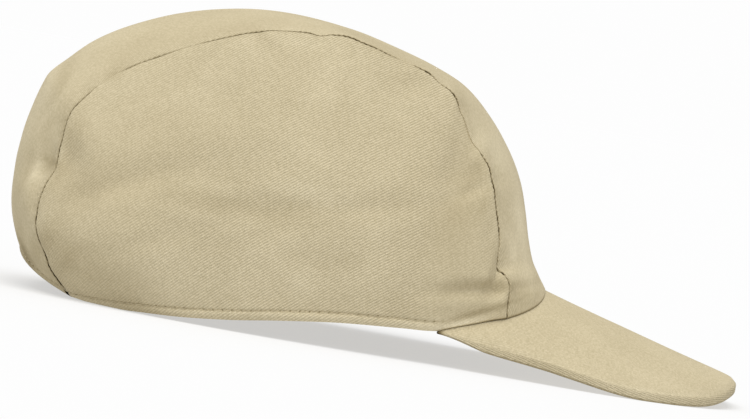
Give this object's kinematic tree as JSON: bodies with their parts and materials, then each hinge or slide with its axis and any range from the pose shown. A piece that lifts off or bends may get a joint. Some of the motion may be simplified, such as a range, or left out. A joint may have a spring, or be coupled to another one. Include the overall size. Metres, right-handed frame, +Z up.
{
  "type": "sport cap",
  "caption": "Soft cap in light cotton twill with a deep crown of a centre panel between side panels, and a short curved peak.",
  "frame": {"origin": "on the surface that the cap rests on, under the middle of its length and width", "axes": "+X towards the front of the peak, +Y towards the wearer's left, +Z up"},
  "size_m": [0.2771, 0.1558, 0.1153],
  "materials": {
    "twill_centre": "matt cotton twill",
    "twill_left": "matt cotton twill",
    "twill_right": "matt cotton twill",
    "twill_peak_top": "matt cotton twill",
    "twill_peak_under": "matt cotton twill"
  },
  "bodies": {
    "root": {"centre_panel": "twill_centre", "side_panel_left": "twill_left", "side_panel_right": "twill_right", "peak_top": "twill_peak_top", "peak_under": "twill_peak_under"}
  },
  "joints": []
}
